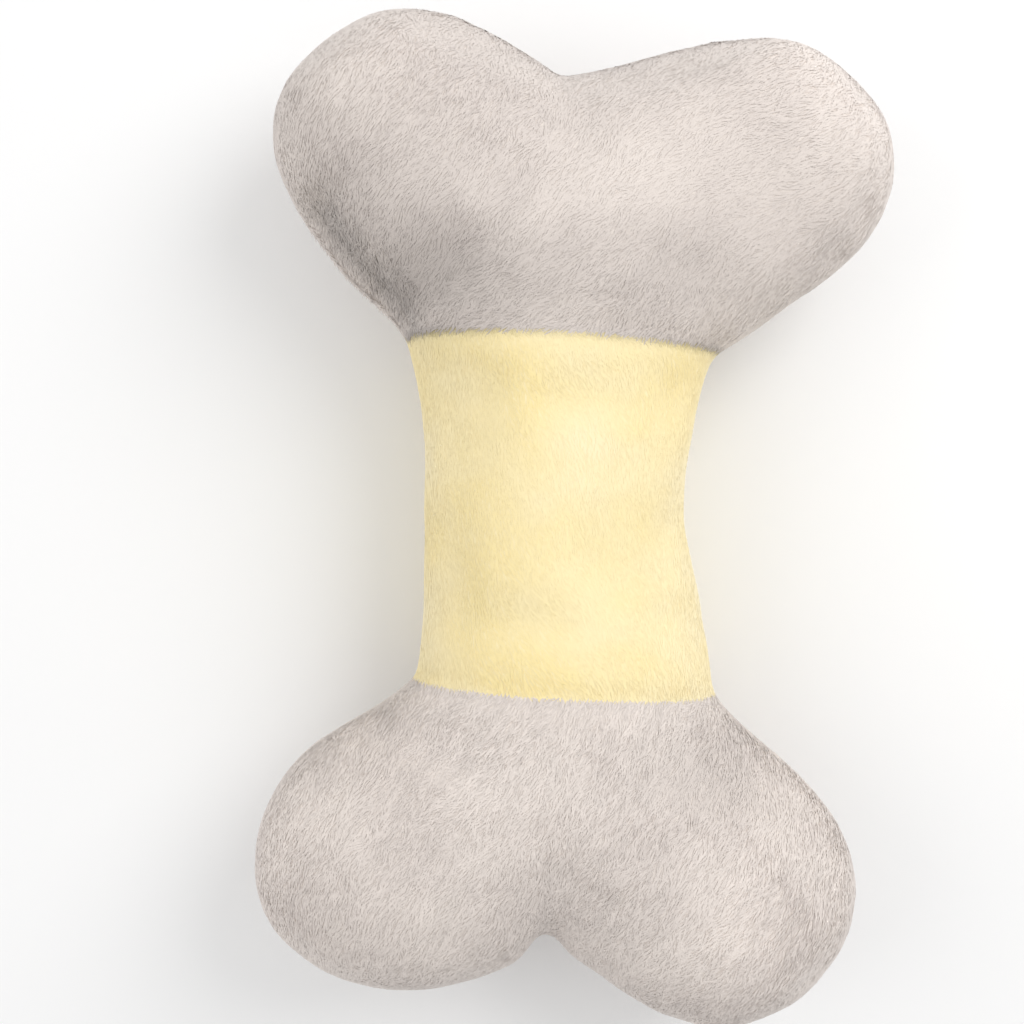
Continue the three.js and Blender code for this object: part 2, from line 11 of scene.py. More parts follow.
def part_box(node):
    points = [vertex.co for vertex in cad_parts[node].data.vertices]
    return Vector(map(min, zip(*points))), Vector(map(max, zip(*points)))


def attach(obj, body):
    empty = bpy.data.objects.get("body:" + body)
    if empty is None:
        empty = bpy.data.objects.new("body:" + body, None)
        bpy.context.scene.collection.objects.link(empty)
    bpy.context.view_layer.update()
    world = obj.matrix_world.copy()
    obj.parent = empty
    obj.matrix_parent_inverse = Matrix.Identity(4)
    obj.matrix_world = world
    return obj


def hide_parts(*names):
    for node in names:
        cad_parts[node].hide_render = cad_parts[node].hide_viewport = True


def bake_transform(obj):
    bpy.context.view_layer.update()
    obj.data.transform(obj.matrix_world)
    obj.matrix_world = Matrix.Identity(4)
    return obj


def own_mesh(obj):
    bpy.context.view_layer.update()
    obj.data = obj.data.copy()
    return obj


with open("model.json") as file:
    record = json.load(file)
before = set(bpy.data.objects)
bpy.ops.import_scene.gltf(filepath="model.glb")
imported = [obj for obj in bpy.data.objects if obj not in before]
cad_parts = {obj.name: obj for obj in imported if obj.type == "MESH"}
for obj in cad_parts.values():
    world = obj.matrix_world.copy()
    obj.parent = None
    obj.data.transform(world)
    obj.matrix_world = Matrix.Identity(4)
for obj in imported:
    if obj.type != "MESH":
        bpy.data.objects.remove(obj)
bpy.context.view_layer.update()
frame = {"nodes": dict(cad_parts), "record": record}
scene = bpy.context.scene
scene.view_settings.view_transform = "Standard"

mm = 0.001
panelNodes = [f"{zone}_{face}" for zone in ("upper_end", "lower_end", "band") for face in ("front", "back")]
fillingNodes = ["upper_filling", "lower_filling", "band_front_filling", "band_back_filling"]

# Places that the CAD pieces give
bandLow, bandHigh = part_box("band_front")
midZ = (bandLow.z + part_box("band_back")[1].z) / 2
upperSeamY = (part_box("upper_end_front")[0].y + bandHigh.y) / 2
lowerSeamY = (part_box("lower_end_front")[1].y + bandLow.y) / 2
bladderLow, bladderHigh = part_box("squeaker_bladder")
squeakerX = (bladderLow.x + bladderHigh.x) / 2

# Where each uneven thing reads the noise, so that no two are alike
noiseFields = {
    "lumps": (3.1, 7.7, 1.3),
    "roughness": (8.3, 1.1, 4.9),
    "nap": (0.4, 2.2, 5.1),
    "puffs": (5.5, 0.3, 2.9),
    "wrinkles": (1.9, 4.4, 0.6),
}


# Mesh helpers


def newObject(name, mesh):
    piece = bpy.data.objects.new(name, mesh)
    scene.collection.objects.link(piece)
    return piece


def dropObject(piece):
    mesh = piece.data
    bpy.data.objects.remove(piece)
    if mesh.users == 0:
        bpy.data.meshes.remove(mesh)


def evaluatedMesh(piece, keepLayers=False):
    graph = bpy.context.evaluated_depsgraph_get()
    return bpy.data.meshes.new_from_object(
        piece.evaluated_get(graph), preserve_all_data_layers=keepLayers, depsgraph=graph
    )


def settle(piece):
    made = evaluatedMesh(piece)
    old = piece.data
    piece.modifiers.clear()
    piece.data = made
    bpy.data.meshes.remove(old)
    return piece


def meshPoints(mesh):
    flat = np.empty(len(mesh.vertices) * 3, np.float32)
    mesh.vertices.foreach_get("co", flat)
    return flat.reshape(-1, 3).astype(float)


def meshNormals(mesh):
    flat = np.empty(len(mesh.vertices) * 3, np.float32)
    mesh.vertex_normals.foreach_get("vector", flat)
    return flat.reshape(-1, 3).astype(float)


def setPoints(mesh, points):
    mesh.vertices.foreach_set("co", np.asarray(points, np.float32).ravel())
    mesh.update()


def shadeSmooth(mesh):
    mesh.polygons.foreach_set("use_smooth", np.ones(len(mesh.polygons), bool))


def paint(mesh, material):
    mesh.materials.clear()
    mesh.materials.append(material)


def putAttribute(mesh, name, values, kind):
    layer = mesh.attributes.get(name) or mesh.attributes.new(name, kind, "POINT")
    field = "vector" if kind == "FLOAT_VECTOR" else "value"
    layer.data.foreach_set(field, np.asarray(values, np.float32).ravel())


def getAttribute(mesh, name, width):
    layer = mesh.attributes[name]
    flat = np.empty(len(layer.data) * width, np.float32)
    layer.data.foreach_get("vector" if width == 3 else "value", flat)
    return flat.reshape(-1, width).astype(float) if width > 1 else flat.astype(float)


def noiseAt(points, size, field):
    shift = Vector(noiseFields[field])
    return np.array([noise.noise(Vector(p) / size + shift) for p in points])


def bell(away, reach):
    return np.exp(-((away / reach) ** 2))


def joinedCopy(name, nodes):
    bm = bmesh.new()
    for node in nodes:
        bm.from_mesh(frame["nodes"][node].data)
    bmesh.ops.remove_doubles(bm, verts=bm.verts, dist=1e-6)
    mesh = bpy.data.meshes.new(name)
    bm.to_mesh(mesh)
    bm.free()
    return newObject(name, mesh)


def voxelSkin(piece, voxel):
    remesh = piece.modifiers.new("Voxels", "REMESH")
    remesh.mode = "VOXEL"
    remesh.voxel_size = voxel
    remesh.use_smooth_shade = True
    return settle(piece)


def subdivide(piece, kind, levels):
    finer = piece.modifiers.new("Finer", "SUBSURF")
    finer.subdivision_type = kind
    finer.levels = levels
    finer.render_levels = levels
    return settle(piece)


def keepLargest(mesh):
    bm = bmesh.new()
    bm.from_mesh(mesh)
    left = set(bm.verts)
    islands = []
    while left:
        front = [left.pop()]
        island = set(front)
        while front:
            for edge in front.pop().link_edges:
                for vert in edge.verts:
                    if vert in left:
                        left.discard(vert)
                        island.add(vert)
                        front.append(vert)
        islands.append(island)
    largest = max(islands, key=len)
    bmesh.ops.delete(bm, geom=[v for v in bm.verts if v not in largest], context="VERTS")
    bm.to_mesh(mesh)
    bm.free()


def smoothed(mesh, rounds):
    axes = {"use_axis_x": True, "use_axis_y": True, "use_axis_z": True}
    bm = bmesh.new()
    bm.from_mesh(mesh)
    for _ in range(rounds):
        bmesh.ops.smooth_vert(bm, verts=bm.verts, factor=0.5, **axes)
    bm.to_mesh(mesh)
    bm.free()
    mesh.update()


# Colour and node helpers


def linear(red, green, blue):
    channels = [c / 255 for c in (red, green, blue)]
    return tuple(c / 12.92 if c <= 0.04045 else ((c + 0.055) / 1.055) ** 2.4 for c in channels) + (1.0,)


def darker(colour, share):
    return tuple(c * share for c in colour[:3]) + (1.0,)


def addNode(tree, kind, inputs=None, **settings):
    node = tree.nodes.new(kind)
    for key, value in settings.items():
        setattr(node, key, value)
    for key, value in (inputs or {}).items():
        if isinstance(value, bpy.types.NodeSocket):
            tree.links.new(value, node.inputs[key])
        else:
            node.inputs[key].default_value = value
    return node


def math2(tree, operation, first, second):
    return addNode(tree, "ShaderNodeMath", {0: first, 1: second}, operation=operation).outputs[0]


def newMaterial(name):
    material = bpy.data.materials.new(name)
    material.use_nodes = True
    material.node_tree.nodes.clear()
    tree = material.node_tree
    shader = addNode(tree, "ShaderNodeBsdfPrincipled")
    addNode(tree, "ShaderNodeOutputMaterial", {"Surface": shader.outputs[0]})
    return material, tree, shader


def setFinish(shader, finish):
    for label, value in finish.items():
        shader.inputs[label].default_value = value


def mixColour(tree, share, first, second, blend="MIX"):
    inputs = {0: share, 6: first, 7: second}  # the sockets of a mix of colours
    return addNode(tree, "ShaderNodeMix", inputs, data_type="RGBA", blend_type=blend).outputs[2]


def objectPlace(tree):
    return addNode(tree, "ShaderNodeTexCoord").outputs["Object"]


def objectNoise(tree, scale, detail):
    inputs = {"Vector": objectPlace(tree), "Scale": scale, "Detail": detail}
    return addNode(tree, "ShaderNodeTexNoise", inputs).outputs["Fac"]


def ranged(tree, value, fromLow, fromHigh, toLow=0.0, toHigh=1.0):
    inputs = {"Value": value, "From Min": fromLow, "From Max": fromHigh, "To Min": toLow, "To Max": toHigh}
    return addNode(tree, "ShaderNodeMapRange", inputs).outputs[0]


def bumped(tree, shader, height, strength, distance):
    bump = addNode(tree, "ShaderNodeBump", {"Height": height, "Strength": strength, "Distance": distance})
    tree.links.new(bump.outputs[0], shader.inputs["Normal"])


# Plush: light roots, partly undyed and partly painted light that lifts the shade in the gaps between tufts, a
# dye that varies softly from place to place, and a tone of its own for each tuft
greyPlush = {
    "tip": linear(229, 219, 212),
    # lighter than the tip: partly undyed root, partly painted light against the shade between tufts
    "root": linear(237, 227, 219),
    "cool": linear(213, 203, 197),
    "patch": 50.0,
    "tones": (0.86, 1.06),
}
yellowPlush = {
    "tip": linear(255, 241, 200),
    "root": linear(254, 238, 190),
    "cool": linear(253, 233, 170),
    "patch": 48.0,
    "tones": (0.975, 1.01),
}
# What every pile shares
dye = {
    "patchDetail": 3.0,
    "patchEdge": (0.35, 0.65),  # of the noise, from one shade to the other
    "tipFrom": 0.75,  # of a tuft's length, where the root's colour ends
    "finish": {"Roughness": 0.9, "Specular IOR Level": 0.2, "Sheen Weight": 0.25, "Sheen Roughness": 0.45},
}


def plushMaterial(name, look):
    material, tree, shader = newMaterial(name)
    fields = ("tip", "tone", "shade")
    nodes = [addNode(tree, "ShaderNodeAttribute", attribute_name=field) for field in fields]
    tip, tone, shade = [node.outputs["Fac"] for node in nodes]
    patch = ranged(tree, objectNoise(tree, look["patch"], dye["patchDetail"]), *dye["patchEdge"])
    pile = mixColour(tree, patch, look["tip"], look["cool"])
    shaded = mixColour(tree, ranged(tree, tip, 0.0, dye["tipFrom"]), look["root"], pile)
    # each tuft's own tone, times the painted light and shade of the shade attribute
    level = math2(tree, "MULTIPLY", ranged(tree, tone, 0.0, 1.0, *look["tones"]), shade)
    grey = addNode(tree, "ShaderNodeCombineColor", {0: level, 1: level, 2: level}).outputs[0]
    colour = mixColour(tree, 1.0, shaded, grey, "MULTIPLY")
    tree.links.new(colour, shader.inputs["Base Color"])
    setFinish(shader, dye["finish"])
    return material


greyMaterial = plushMaterial("grey_pile", greyPlush)
yellowMaterial = plushMaterial("yellow_pile", yellowPlush)


# Backing: one closed skin over the stuffed form, under the tips of the pile, swelling between its seams
backing = {
    "voxel": 1.8 * mm,
    "rounds": 2,
    "sink": 0.1 * mm,  # under the tips of the pile
    "slack": 0.9 * mm,  # further in where the swelling starts
    "slackReach": 12 * mm,  # from a seam to where it is all there
    "cap": 1.0 * mm,  # how far it may swell
    "capRounds": 6,  # that even out what the cap cuts off
    "seamReach": 2.2 * mm,  # held beside a seam
    "pressure": 4.0,
    "stretch": 12,
    "bend": 0.8,
    "shrink": -0.02,
    "frames": 20,
    "crossCrease": 0.5 * mm,
    "sideCrease": 0.25 * mm,
    "crossWidth": 2.4 * mm,
    "sideWidth": 1.7 * mm,
    "crossLeast": 0.25,  # share of the cross crease that is left on the flanks
    "lump": 0.7 * mm,
    "lumpSize": 22 * mm,
    "foldWidth": 2.6 * mm,  # of the fold that runs in from the notch of each end
    "foldLength": 14 * mm,
    "foldOver": 8 * mm,  # how far it goes round the edge
    "folds": ((-5 * mm, 77.7 * mm, 0.6 * mm), (0.5 * mm, -74.3 * mm, 2.0 * mm)),  # place and depth
    "flatTo": 4 * mm,  # the back keeps the flats that it rests on up to here
    "flatFade": 6 * mm,
    "frontFade": 3,  # how soon what is only on the front fades in from the rim
}
# Uneven stuffing: a line in plan, how far from it the cover rises or sinks, how much, and whether all round
unevenness = {
    "pucker": ((-45.7 * mm, 47 * mm), (-33.2 * mm, 32.5 * mm), 6.2 * mm, -2.6 * mm, False),
    "left of the neck": ((-38 * mm, 40 * mm), (-29 * mm, 29 * mm), 7 * mm, 0.9 * mm, True),
    "right of the neck": ((40 * mm, 42 * mm), (30 * mm, 34 * mm), 9 * mm, 1.2 * mm, True),
    "roll over the upper seam": ((-16 * mm, 45 * mm), (28 * mm, 45 * mm), 9 * mm, 1.2 * mm, False),
    "right of the band": ((24 * mm, -12 * mm), (26 * mm, -22 * mm), 8 * mm, 1.0 * mm, True),
    "hollow under the lower seam": ((20 * mm, -38 * mm), (29 * mm, -43 * mm), 7 * mm, -1.0 * mm, False),
    "lower left lobe": ((-33 * mm, -58 * mm), (-30 * mm, -64 * mm), 12 * mm, 1.3 * mm, False),
    "upper left shoulder": ((-50 * mm, 80 * mm), (-46 * mm, 84 * mm), 8 * mm, -1.0 * mm, True),
    "upper right shoulder": ((44 * mm, 83 * mm), (48 * mm, 80 * mm), 8 * mm, -1.0 * mm, True),
    "lower left shoulder": ((-42 * mm, -82 * mm), (-34 * mm, -85 * mm), 8 * mm, -1.0 * mm, True),
    "lower right shoulder": ((42 * mm, -85 * mm), (51 * mm, -79 * mm), 8 * mm, -1.3 * mm, True),
}
# Where the pile looks darker or lighter, partly where the nap was stroked and partly as painted light and
# shade: painted highlights on rims and lobes towards the key lamp, painted shade on flanks and slopes turned
# away from it. A line in plan, how far from it, and how much
napAndPaintedLight = {
    "under the upper left lobe": ((-39 * mm, 60 * mm), (-22 * mm, 42 * mm), 13 * mm, -0.07),
    "left over the upper seam": ((-27 * mm, 38 * mm), (-21 * mm, 38 * mm), 8 * mm, -0.2),
    "over the upper seam": ((-8 * mm, 39 * mm), (26 * mm, 41 * mm), 9 * mm, -0.07),
    "right under the lower seam": ((22 * mm, -39 * mm), (28 * mm, -42 * mm), 8 * mm, -0.08),
    "upper left lobe": ((-38 * mm, 73 * mm), (-30 * mm, 77 * mm), 9 * mm, 0.06),
    "upper right rim": ((36 * mm, 82 * mm), (48 * mm, 72 * mm), 9 * mm, 0.12),
    "lower left rim": ((-47 * mm, -56 * mm), (-47 * mm, -68 * mm), 6 * mm, 0.11),
    "lower right lobe": ((31 * mm, -64 * mm), (36 * mm, -71 * mm), 12 * mm, 0.11),
}
# How unruly the pile is, as a share of its lift
pileRoughness = {
    "upper": 0.5,
    "lowerMore": 0.55,
    "seamMore": 0.4,
    "seamReach": 9 * mm,
    "puckerMore": 3.6,
    "rimLess": 0.45,
    "uneven": 0.5,
    "patch": 20 * mm,
}


def seamGaps(points):
    cross = np.minimum(np.abs(points[:, 1] - upperSeamY), np.abs(points[:, 1] - lowerSeamY))
    return cross, np.abs(points[:, 2] - midZ)


def nearLine(points, begin, end, reach):
    begin, end = np.array(begin), np.array(end)
    along = np.clip((points[:, :2] - begin) @ (end - begin) / ((end - begin) @ (end - begin)), 0, 1)
    away = np.linalg.norm(points[:, :2] - begin - along[:, None] * (end - begin), axis=1)
    return bell(away, reach)


def evened(mesh, values, rounds):
    edges = np.empty(len(mesh.edges) * 2, np.int32)
    mesh.edges.foreach_get("vertices", edges)
    first, second = edges.reshape(-1, 2).T
    degree = np.bincount(edges, minlength=len(mesh.vertices))[:, None]
    for _ in range(rounds):
        total = np.zeros_like(values)
        np.add.at(total, first, values[second])
        np.add.at(total, second, values[first])
        values = 0.5 * values + 0.5 * total / degree
    return values


def swell(piece):
    start = meshPoints(piece.data)
    bySeam = np.nonzero(np.minimum(*seamGaps(start)) < backing["seamReach"])[0]
    held = piece.vertex_groups.new(name="held")
    held.add(bySeam.tolist(), 1.0, "REPLACE")
    cloth = piece.modifiers.new("Swelling", "CLOTH")
    cloth.settings.vertex_group_mass = "held"
    cloth.settings.use_pressure = True
    cloth.settings.uniform_pressure_force = backing["pressure"]
    cloth.settings.effector_weights.gravity = 0
    cloth.settings.tension_stiffness = backing["stretch"]
    cloth.settings.compression_stiffness = backing["stretch"]
    cloth.settings.bending_stiffness = backing["bend"]
    cloth.settings.shrink_min = backing["shrink"]
    cloth.point_cache.frame_start = 1
    cloth.point_cache.frame_end = backing["frames"]
    for number in range(1, backing["frames"] + 1):
        scene.frame_set(number)
    moved = meshPoints(evaluatedMesh(piece)) - start
    piece.modifiers.clear()
    piece.vertex_groups.clear()
    scene.frame_set(1)
    length = np.linalg.norm(moved, axis=1)
    share = np.minimum(1.0, backing["cap"] / np.maximum(length, 1e-9))
    setPoints(piece.data, start + evened(piece.data, moved * share[:, None], backing["capRounds"]))
    print(f"backing swells by up to {length.max() / mm:.1f} mm, capped at {backing['cap'] / mm:.1f} mm")


def stuffedSkin():
    piece = voxelSkin(joinedCopy("backing", panelNodes + fillingNodes), backing["voxel"])
    keepLargest(piece.data)
    smoothed(piece.data, backing["rounds"])
    points = meshPoints(piece.data)
    slack = backing["slack"] * np.clip(np.minimum(*seamGaps(points)) / backing["slackReach"], 0, 1)
    setPoints(piece.data, points - meshNormals(piece.data) * (backing["sink"] + slack)[:, None])
    swell(piece)
    smoothed(piece.data, backing["rounds"])
    return subdivide(piece, "CATMULL_CLARK", 1)


def seamCreases(points, normals):
    cross, side = seamGaps(points)
    least = backing["crossLeast"]
    crease = backing["crossCrease"] * bell(cross, backing["crossWidth"])
    crease *= least + (1 - least) * np.abs(normals[:, 2])
    crease += backing["sideCrease"] * bell(side, backing["sideWidth"])
    for x, y, depth in backing["folds"]:
        inward = (y - points[:, 1]) * math.copysign(1, y)
        fade = np.clip(1 - inward / backing["foldLength"], 0, 1) ** 2 * (inward > -backing["foldOver"])
        crease += depth * fade * bell(points[:, 0] - x, backing["foldWidth"])
    return crease


# How unruly the pile is at each point, where it is parted, and where stroked nap and painted light and shade
# make it darker or lighter
def markPile(mesh, points, normals, onFront, ruffle):
    putAttribute(mesh, "ruffle", ruffle, "FLOAT")
    # tone from the stroked nap and from painted light and shade, on the front only
    napAndPaintedLightTone = np.zeros(len(points))
    for begin, end, reach, tone in napAndPaintedLight.values():
        napAndPaintedLightTone += tone * nearLine(points, begin, end, reach) * onFront
    putAttribute(mesh, "napAndPaintedLightTone", napAndPaintedLightTone, "FLOAT")
    cross, _ = seamGaps(points)
    rough = pileRoughness["upper"] + (points[:, 1] < lowerSeamY) * pileRoughness["lowerMore"]
    rough = rough + pileRoughness["seamMore"] * bell(cross, pileRoughness["seamReach"])
    rough += pileRoughness["uneven"] * noiseAt(points, pileRoughness["patch"], "roughness")
    rough += pileRoughness["puckerMore"] * ruffle
    rough *= 1 - pileRoughness["rimLess"] * (1 - np.abs(normals[:, 2]))
    putAttribute(mesh, "rough", rough, "FLOAT")


def makeBacking():
    piece = stuffedSkin()
    points = meshPoints(piece.data)
    normals = meshNormals(piece.data)
    onFront = np.clip(normals[:, 2] * backing["frontFade"], 0, 1)
    lumps = backing["lump"] * noiseAt(points, backing["lumpSize"], "lumps")
    lines = {}
    for label, (begin, end, reach, height, allRound) in unevenness.items():
        lines[label] = nearLine(points, begin, end, reach) * (1.0 if allRound else onFront)
        lumps += height * lines[label]
    markPile(piece.data, points, normals, onFront, lines["pucker"])
    flat = np.clip((points[:, 2] - backing["flatTo"]) / backing["flatFade"], 0, 1)
    rise = lumps * flat - seamCreases(points, normals)
    setPoints(piece.data, points + normals * rise[:, None])
    print(f"backing: {len(piece.data.vertices)} points")
    return piece


# Panels: the backing cut along its seams, and the front of the band cut like a cake round the place that is
# pressed
press = {
    "middle": Vector((squeakerX, (upperSeamY + lowerSeamY) / 2, midZ)),
    "halfWidth": 23 * mm,
    "halfHeight": (upperSeamY - lowerSeamY) / 2,
    "slices": ["right", "upper_right", "upper", "upper_left", "left", "lower_left", "lower", "lower_right"],
}
sliceTurn = 2 * math.pi / len(press["slices"])


def pressSlice(place):
    across = (place.x - press["middle"].x) / press["halfWidth"]
    along = (place.y - press["middle"].y) / press["halfHeight"]
    return press["slices"][round(math.atan2(along, across) / sliceTurn) % len(press["slices"])]


def panelOf(place):
    face = "front" if place.z > midZ else "back"
    if place.y > upperSeamY:
        return f"upper_{face}_plush"
    if place.y < lowerSeamY:
        return f"lower_{face}_plush"
    return f"band_front_plush_{pressSlice(place)}" if face == "front" else "band_back_plush"


def cutBacking(piece):
    planes = [((0, upperSeamY, 0), (0, 1, 0)), ((0, lowerSeamY, 0), (0, 1, 0)), ((0, 0, midZ), (0, 0, 1))]
    for number in range(len(press["slices"]) // 2):
        turn = (number + 0.5) * sliceTurn
        normal = (math.sin(turn) * press["halfHeight"], -math.cos(turn) * press["halfWidth"], 0)
        planes.append((press["middle"], normal))
    bm = bmesh.new()
    bm.from_mesh(piece.data)
    for point, normal in planes:
        geom = bm.verts[:] + bm.edges[:] + bm.faces[:]
        bmesh.ops.bisect_plane(bm, geom=geom, dist=1e-7, plane_co=point, plane_no=normal)
    bmesh.ops.triangulate(bm, faces=[f for f in bm.faces if len(f.verts) > 4])
    bm.to_mesh(piece.data)
    bm.free()


def panelPart(name, source):
    mesh = source.data.copy()
    mesh.name = name
    bm = bmesh.new()
    bm.from_mesh(mesh)
    others = [f for f in bm.faces if panelOf(f.calc_center_median()) != name]
    bmesh.ops.delete(bm, geom=others, context="FACES")
    bm.to_mesh(mesh)
    bm.free()
    return newObject(name, mesh)


# The nap lies down and to the left, as its cloth was cut
combing = {
    "rounds": 12,  # the pile lies over the creases, not into them
    "sweepFrom": 5 * mm,  # right of the middle, where the nap starts to turn
    "sweepOver": 25 * mm,
    "seamReach": 10 * mm,
    "waver": 22,
    "waverSize": 26 * mm,
    "farthest": -0.95,  # cosine past which the turn from the pole is no steeper
}


def napLean(points, pile):
    cross, _ = seamGaps(points)
    across = pile["sweep"] * np.clip((points[:, 0] - combing["sweepFrom"]) / combing["sweepOver"], 0, 1)
    near = pile["seamSweep"] * bell(cross, combing["seamReach"])
    return pile["lean"] + (points[:, 1] > upperSeamY) * np.maximum(across, near)


def napField(points, normals, lean, up):
    facing = np.abs(normals[:, 2]).clip(0, 1)
    waver = np.radians(combing["waver"]) * noiseAt(points, combing["waverSize"], "nap")
    turn = np.radians(lean) * facing + waver
    flat = np.stack([-np.sin(turn), -np.cos(turn), np.zeros(len(points))], axis=1)
    pole = np.array([0.0, 0.0, up])
    cosine = (normals @ pole).clip(combing["farthest"], 1.0)[:, None]
    axis = np.cross(np.broadcast_to(pole, normals.shape), normals)
    first = np.cross(axis, flat)
    return flat + first + np.cross(axis, first) / (1 + cosine)


# Tufts: small blades bent at their middle, in shares of their length, that lie along the skin
blade = {
    "root": (-0.35, -0.03),  # along and up
    "middle": 0.07,
    "end": 0.65,
    "bow": 0.35,  # share of the sway at the middle
    "keel": 0.5,  # how far the middle stands up, as a share of its width
    "droop": 0.4,  # share of the rise at the end
    "sways": (-0.13, 0.0, 0.13),
    "points": 5,
    "loops": 12,  # of two sides, each of two triangles
}


def tuftMesh(name, sway, width, rise):
    bm = bmesh.new()
    tipLayer = bm.verts.layers.float.new("tip")
    root = bm.verts.new((blade["root"][0], 0.0, blade["root"][1]))
    middle = []
    for side in (-1, 0, 1):
        across = blade["bow"] * sway + side * width
        middle.append(bm.verts.new((blade["middle"], across, rise + (0 if side else blade["keel"] * width))))
    end = bm.verts.new((blade["end"], sway, blade["droop"] * rise))
    for vert in middle:
        vert[tipLayer] = 0.5
    end[tipLayer] = 1.0
    for i in range(2):
        bm.faces.new((root, middle[i], middle[i + 1]))
        bm.faces.new((middle[i], end, middle[i + 1]))
    mesh = bpy.data.meshes.new(name)
    bm.to_mesh(mesh)
    bm.free()
    return mesh


def tuftObjects(name, pile):
    made = []
    for number, sway in enumerate(blade["sways"]):
        label = f"{name}_{number}"
        tuft = newObject(label, tuftMesh(label, sway, pile["width"], pile["rise"]))
        tuft.hide_render = True
        made.append(tuft)
    return made


# How tufts differ from each other
chance = {
    "seeds": {"stray": 11, "rise": 12, "size": 13, "tone": 14},
    "sizes": (0.75, 1.2),
    "clumpDetail": 1.0,
    "clumpRise": 2.5,  # a clump rises this much more than one tuft
    "stand": 0.03,  # how far unruly pile stands off
    "streakDetail": 2.0,
    "streakEdge": (0.3, 0.7),
    "ownTone": 0.6,  # the rest comes from the streak that a tuft is in
    "toneMost": 1.9,  # how far unruly pile spreads the tones
}
# Inputs of the tree that plants a pile, and the values of the pile that they take
pileInputs = {
    "Spacing": "spacing",
    "Density": "density",
    "Length": "length",
    "Clump Size": "clumpSize",
    "Clump Turn": "clumpTurn",
    "Stray": "stray",
    "Lift": "lift",
    "Lean": "lean",
    "Streak Width": "streakWidth",
    "Streak Length": "streakLength",
    "Seed": "seed",
}
pileAngles = ("clumpTurn", "stray", "lift", "lean")  # written in degrees


def namedField(tree, label, kind):
    return addNode(tree, "GeometryNodeInputNamedAttribute", {"Name": label}, data_type=kind).outputs[0]


def randomly(tree, low, high, draw):
    inputs = {2: low, 3: high, "Seed": chance["seeds"][draw]}
    return addNode(tree, "FunctionNodeRandomValue", inputs, data_type="FLOAT").outputs[1]


def tuftFacing(tree, given, place, rough):
    align = "FunctionNodeAlignRotationToVector"
    comb = namedField(tree, "comb", "FLOAT_VECTOR")
    nap = namedField(tree, "nap", "FLOAT_VECTOR")
    upright = addNode(tree, align, {"Vector": comb}, axis="Z").outputs[0]
    combed = addNode(tree, align, {"Rotation": upright, "Vector": nap}, axis="X", pivot_axis="Z").outputs[0]
    scale = math2(tree, "DIVIDE", 1.0, given["Clump Size"])
    inputs = {"Vector": place, "Scale": scale, "Detail": chance["clumpDetail"]}
    clump = addNode(tree, "ShaderNodeTexNoise", inputs).outputs["Color"]
    parts = addNode(tree, "ShaderNodeSeparateXYZ", {0: clump}).outputs
    clumpTurn = math2(tree, "MULTIPLY", math2(tree, "SUBTRACT", parts[0], 0.5), given["Clump Turn"])
    clumpRise = math2(tree, "MULTIPLY", math2(tree, "SUBTRACT", parts[1], 0.5), chance["clumpRise"])
    stray = math2(tree, "MULTIPLY", randomly(tree, -1.0, 1.0, "stray"), given["Stray"])
    turn = math2(tree, "ADD", clumpTurn, math2(tree, "MULTIPLY", stray, rough))
    rise = math2(tree, "ADD", randomly(tree, -1.0, 1.0, "rise"), clumpRise)
    pitch = math2(tree, "MULTIPLY", rise, math2(tree, "MULTIPLY", given["Lift"], rough))
    stand = math2(tree, "MULTIPLY", math2(tree, "SUBTRACT", rough, 1.0), chance["stand"])
    pitch = math2(tree, "SUBTRACT", pitch, stand)
    euler = addNode(tree, "ShaderNodeCombineXYZ", {"Y": pitch, "Z": turn}).outputs[0]
    own = addNode(tree, "FunctionNodeEulerToRotation", {0: euler}).outputs[0]
    return addNode(tree, "FunctionNodeRotateRotation", {0: combed, 1: own}, rotation_space="LOCAL").outputs[0]


def tuftTone(tree, given, place, rough):
    inputs = {"Vector": place, "Angle": given["Lean"]}
    along = addNode(tree, "ShaderNodeVectorRotate", inputs, rotation_type="Z_AXIS").outputs[0]
    width, length = given["Streak Width"], given["Streak Length"]
    sizes = addNode(tree, "ShaderNodeCombineXYZ", {"X": width, "Y": length, "Z": length}).outputs[0]
    stretched = addNode(tree, "ShaderNodeVectorMath", {0: along, 1: sizes}, operation="DIVIDE").outputs[0]
    inputs = {"Vector": stretched, "Scale": 1.0, "Detail": chance["streakDetail"]}
    streak = ranged(tree, addNode(tree, "ShaderNodeTexNoise", inputs).outputs["Fac"], *chance["streakEdge"])
    own = math2(tree, "MULTIPLY", randomly(tree, 0.0, 1.0, "tone"), chance["ownTone"])
    tone = math2(tree, "ADD", own, math2(tree, "MULTIPLY", streak, 1 - chance["ownTone"]))
    spread = math2(tree, "MINIMUM", rough, chance["toneMost"])
    return math2(tree, "ADD", math2(tree, "MULTIPLY", math2(tree, "SUBTRACT", tone, 0.5), spread), 0.5)


